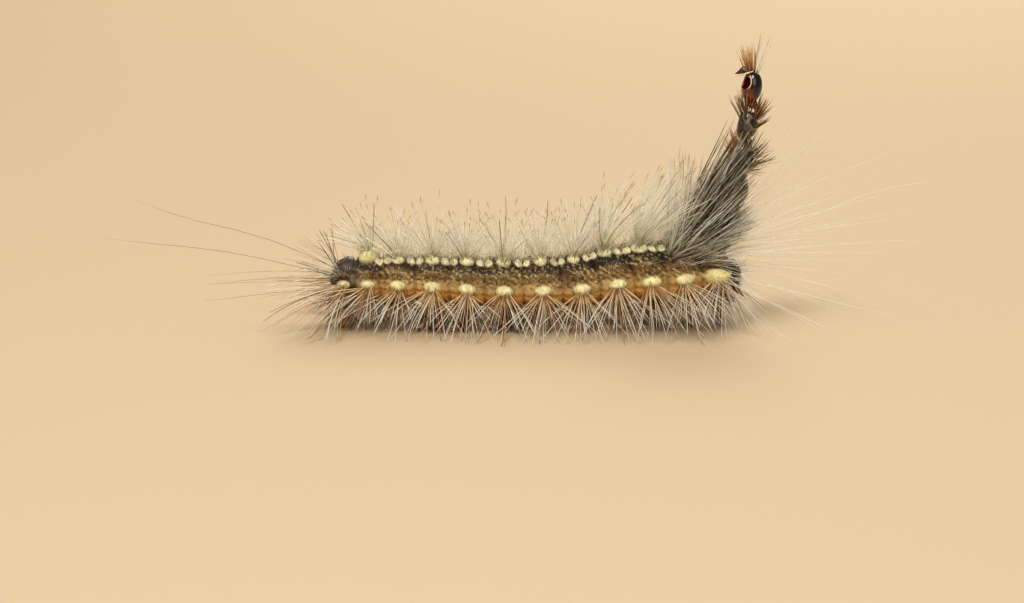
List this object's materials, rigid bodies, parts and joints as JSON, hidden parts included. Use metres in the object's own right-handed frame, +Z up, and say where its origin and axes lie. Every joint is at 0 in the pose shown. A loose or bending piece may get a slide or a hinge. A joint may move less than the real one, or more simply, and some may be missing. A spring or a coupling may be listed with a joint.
{
  "type": "gum leaf skeletonizer larva",
  "caption": "Life-size still model of a hairy moth larva that carries a column of its shed head shells above its head.",
  "frame": {"origin": "middle of the model's box, hair included, at the level of the floor under the prolegs and legs", "axes": "+X towards the head, +Y to the larva's left, +Z up"},
  "size_m": [0.0406, 0.0126, 0.0145],
  "materials": {
    "hairy_skin": "soft brown and amber skin with pale yellow warts and pale cream hair that is dark brown at its tips",
    "tail_skin": "dark grey-brown skin with long dark hair",
    "head_shell": "glossy very dark brown shell",
    "shed_shell": "glossy dark red-brown empty shell with brown bristles",
    "leg_shell": "satin brown shell",
    "proleg_skin": "soft amber skin"
  },
  "bodies": {
    "root": {"head": "head_shell", "antenna_left": "leg_shell", "antenna_right": "leg_shell", "prothorax": "hairy_skin", "mesothorax": "hairy_skin", "metathorax": "hairy_skin", "abdomen_1": "hairy_skin", "abdomen_2": "hairy_skin", "abdomen_3": "hairy_skin", "abdomen_4": "hairy_skin", "abdomen_5": "hairy_skin", "abdomen_6": "hairy_skin", "abdomen_7": "hairy_skin", "abdomen_8": "hairy_skin", "anal_segment": "tail_skin", "leg_1_left": "leg_shell", "leg_1_right": "leg_shell", "leg_2_left": "leg_shell", "leg_2_right": "leg_shell", "leg_3_left": "leg_shell", "leg_3_right": "leg_shell", "proleg_4_left": "proleg_skin", "proleg_4_right": "proleg_skin", "proleg_5_left": "proleg_skin", "proleg_5_right": "proleg_skin", "proleg_6_left": "proleg_skin", "proleg_6_right": "proleg_skin", "anal_proleg_left": "proleg_skin", "anal_proleg_right": "proleg_skin", "shed_head_1": "shed_shell", "shed_head_2": "shed_shell", "shed_head_3": "shed_shell", "shed_head_4": "shed_shell", "shed_head_5": "shed_shell"}
  },
  "joints": []
}
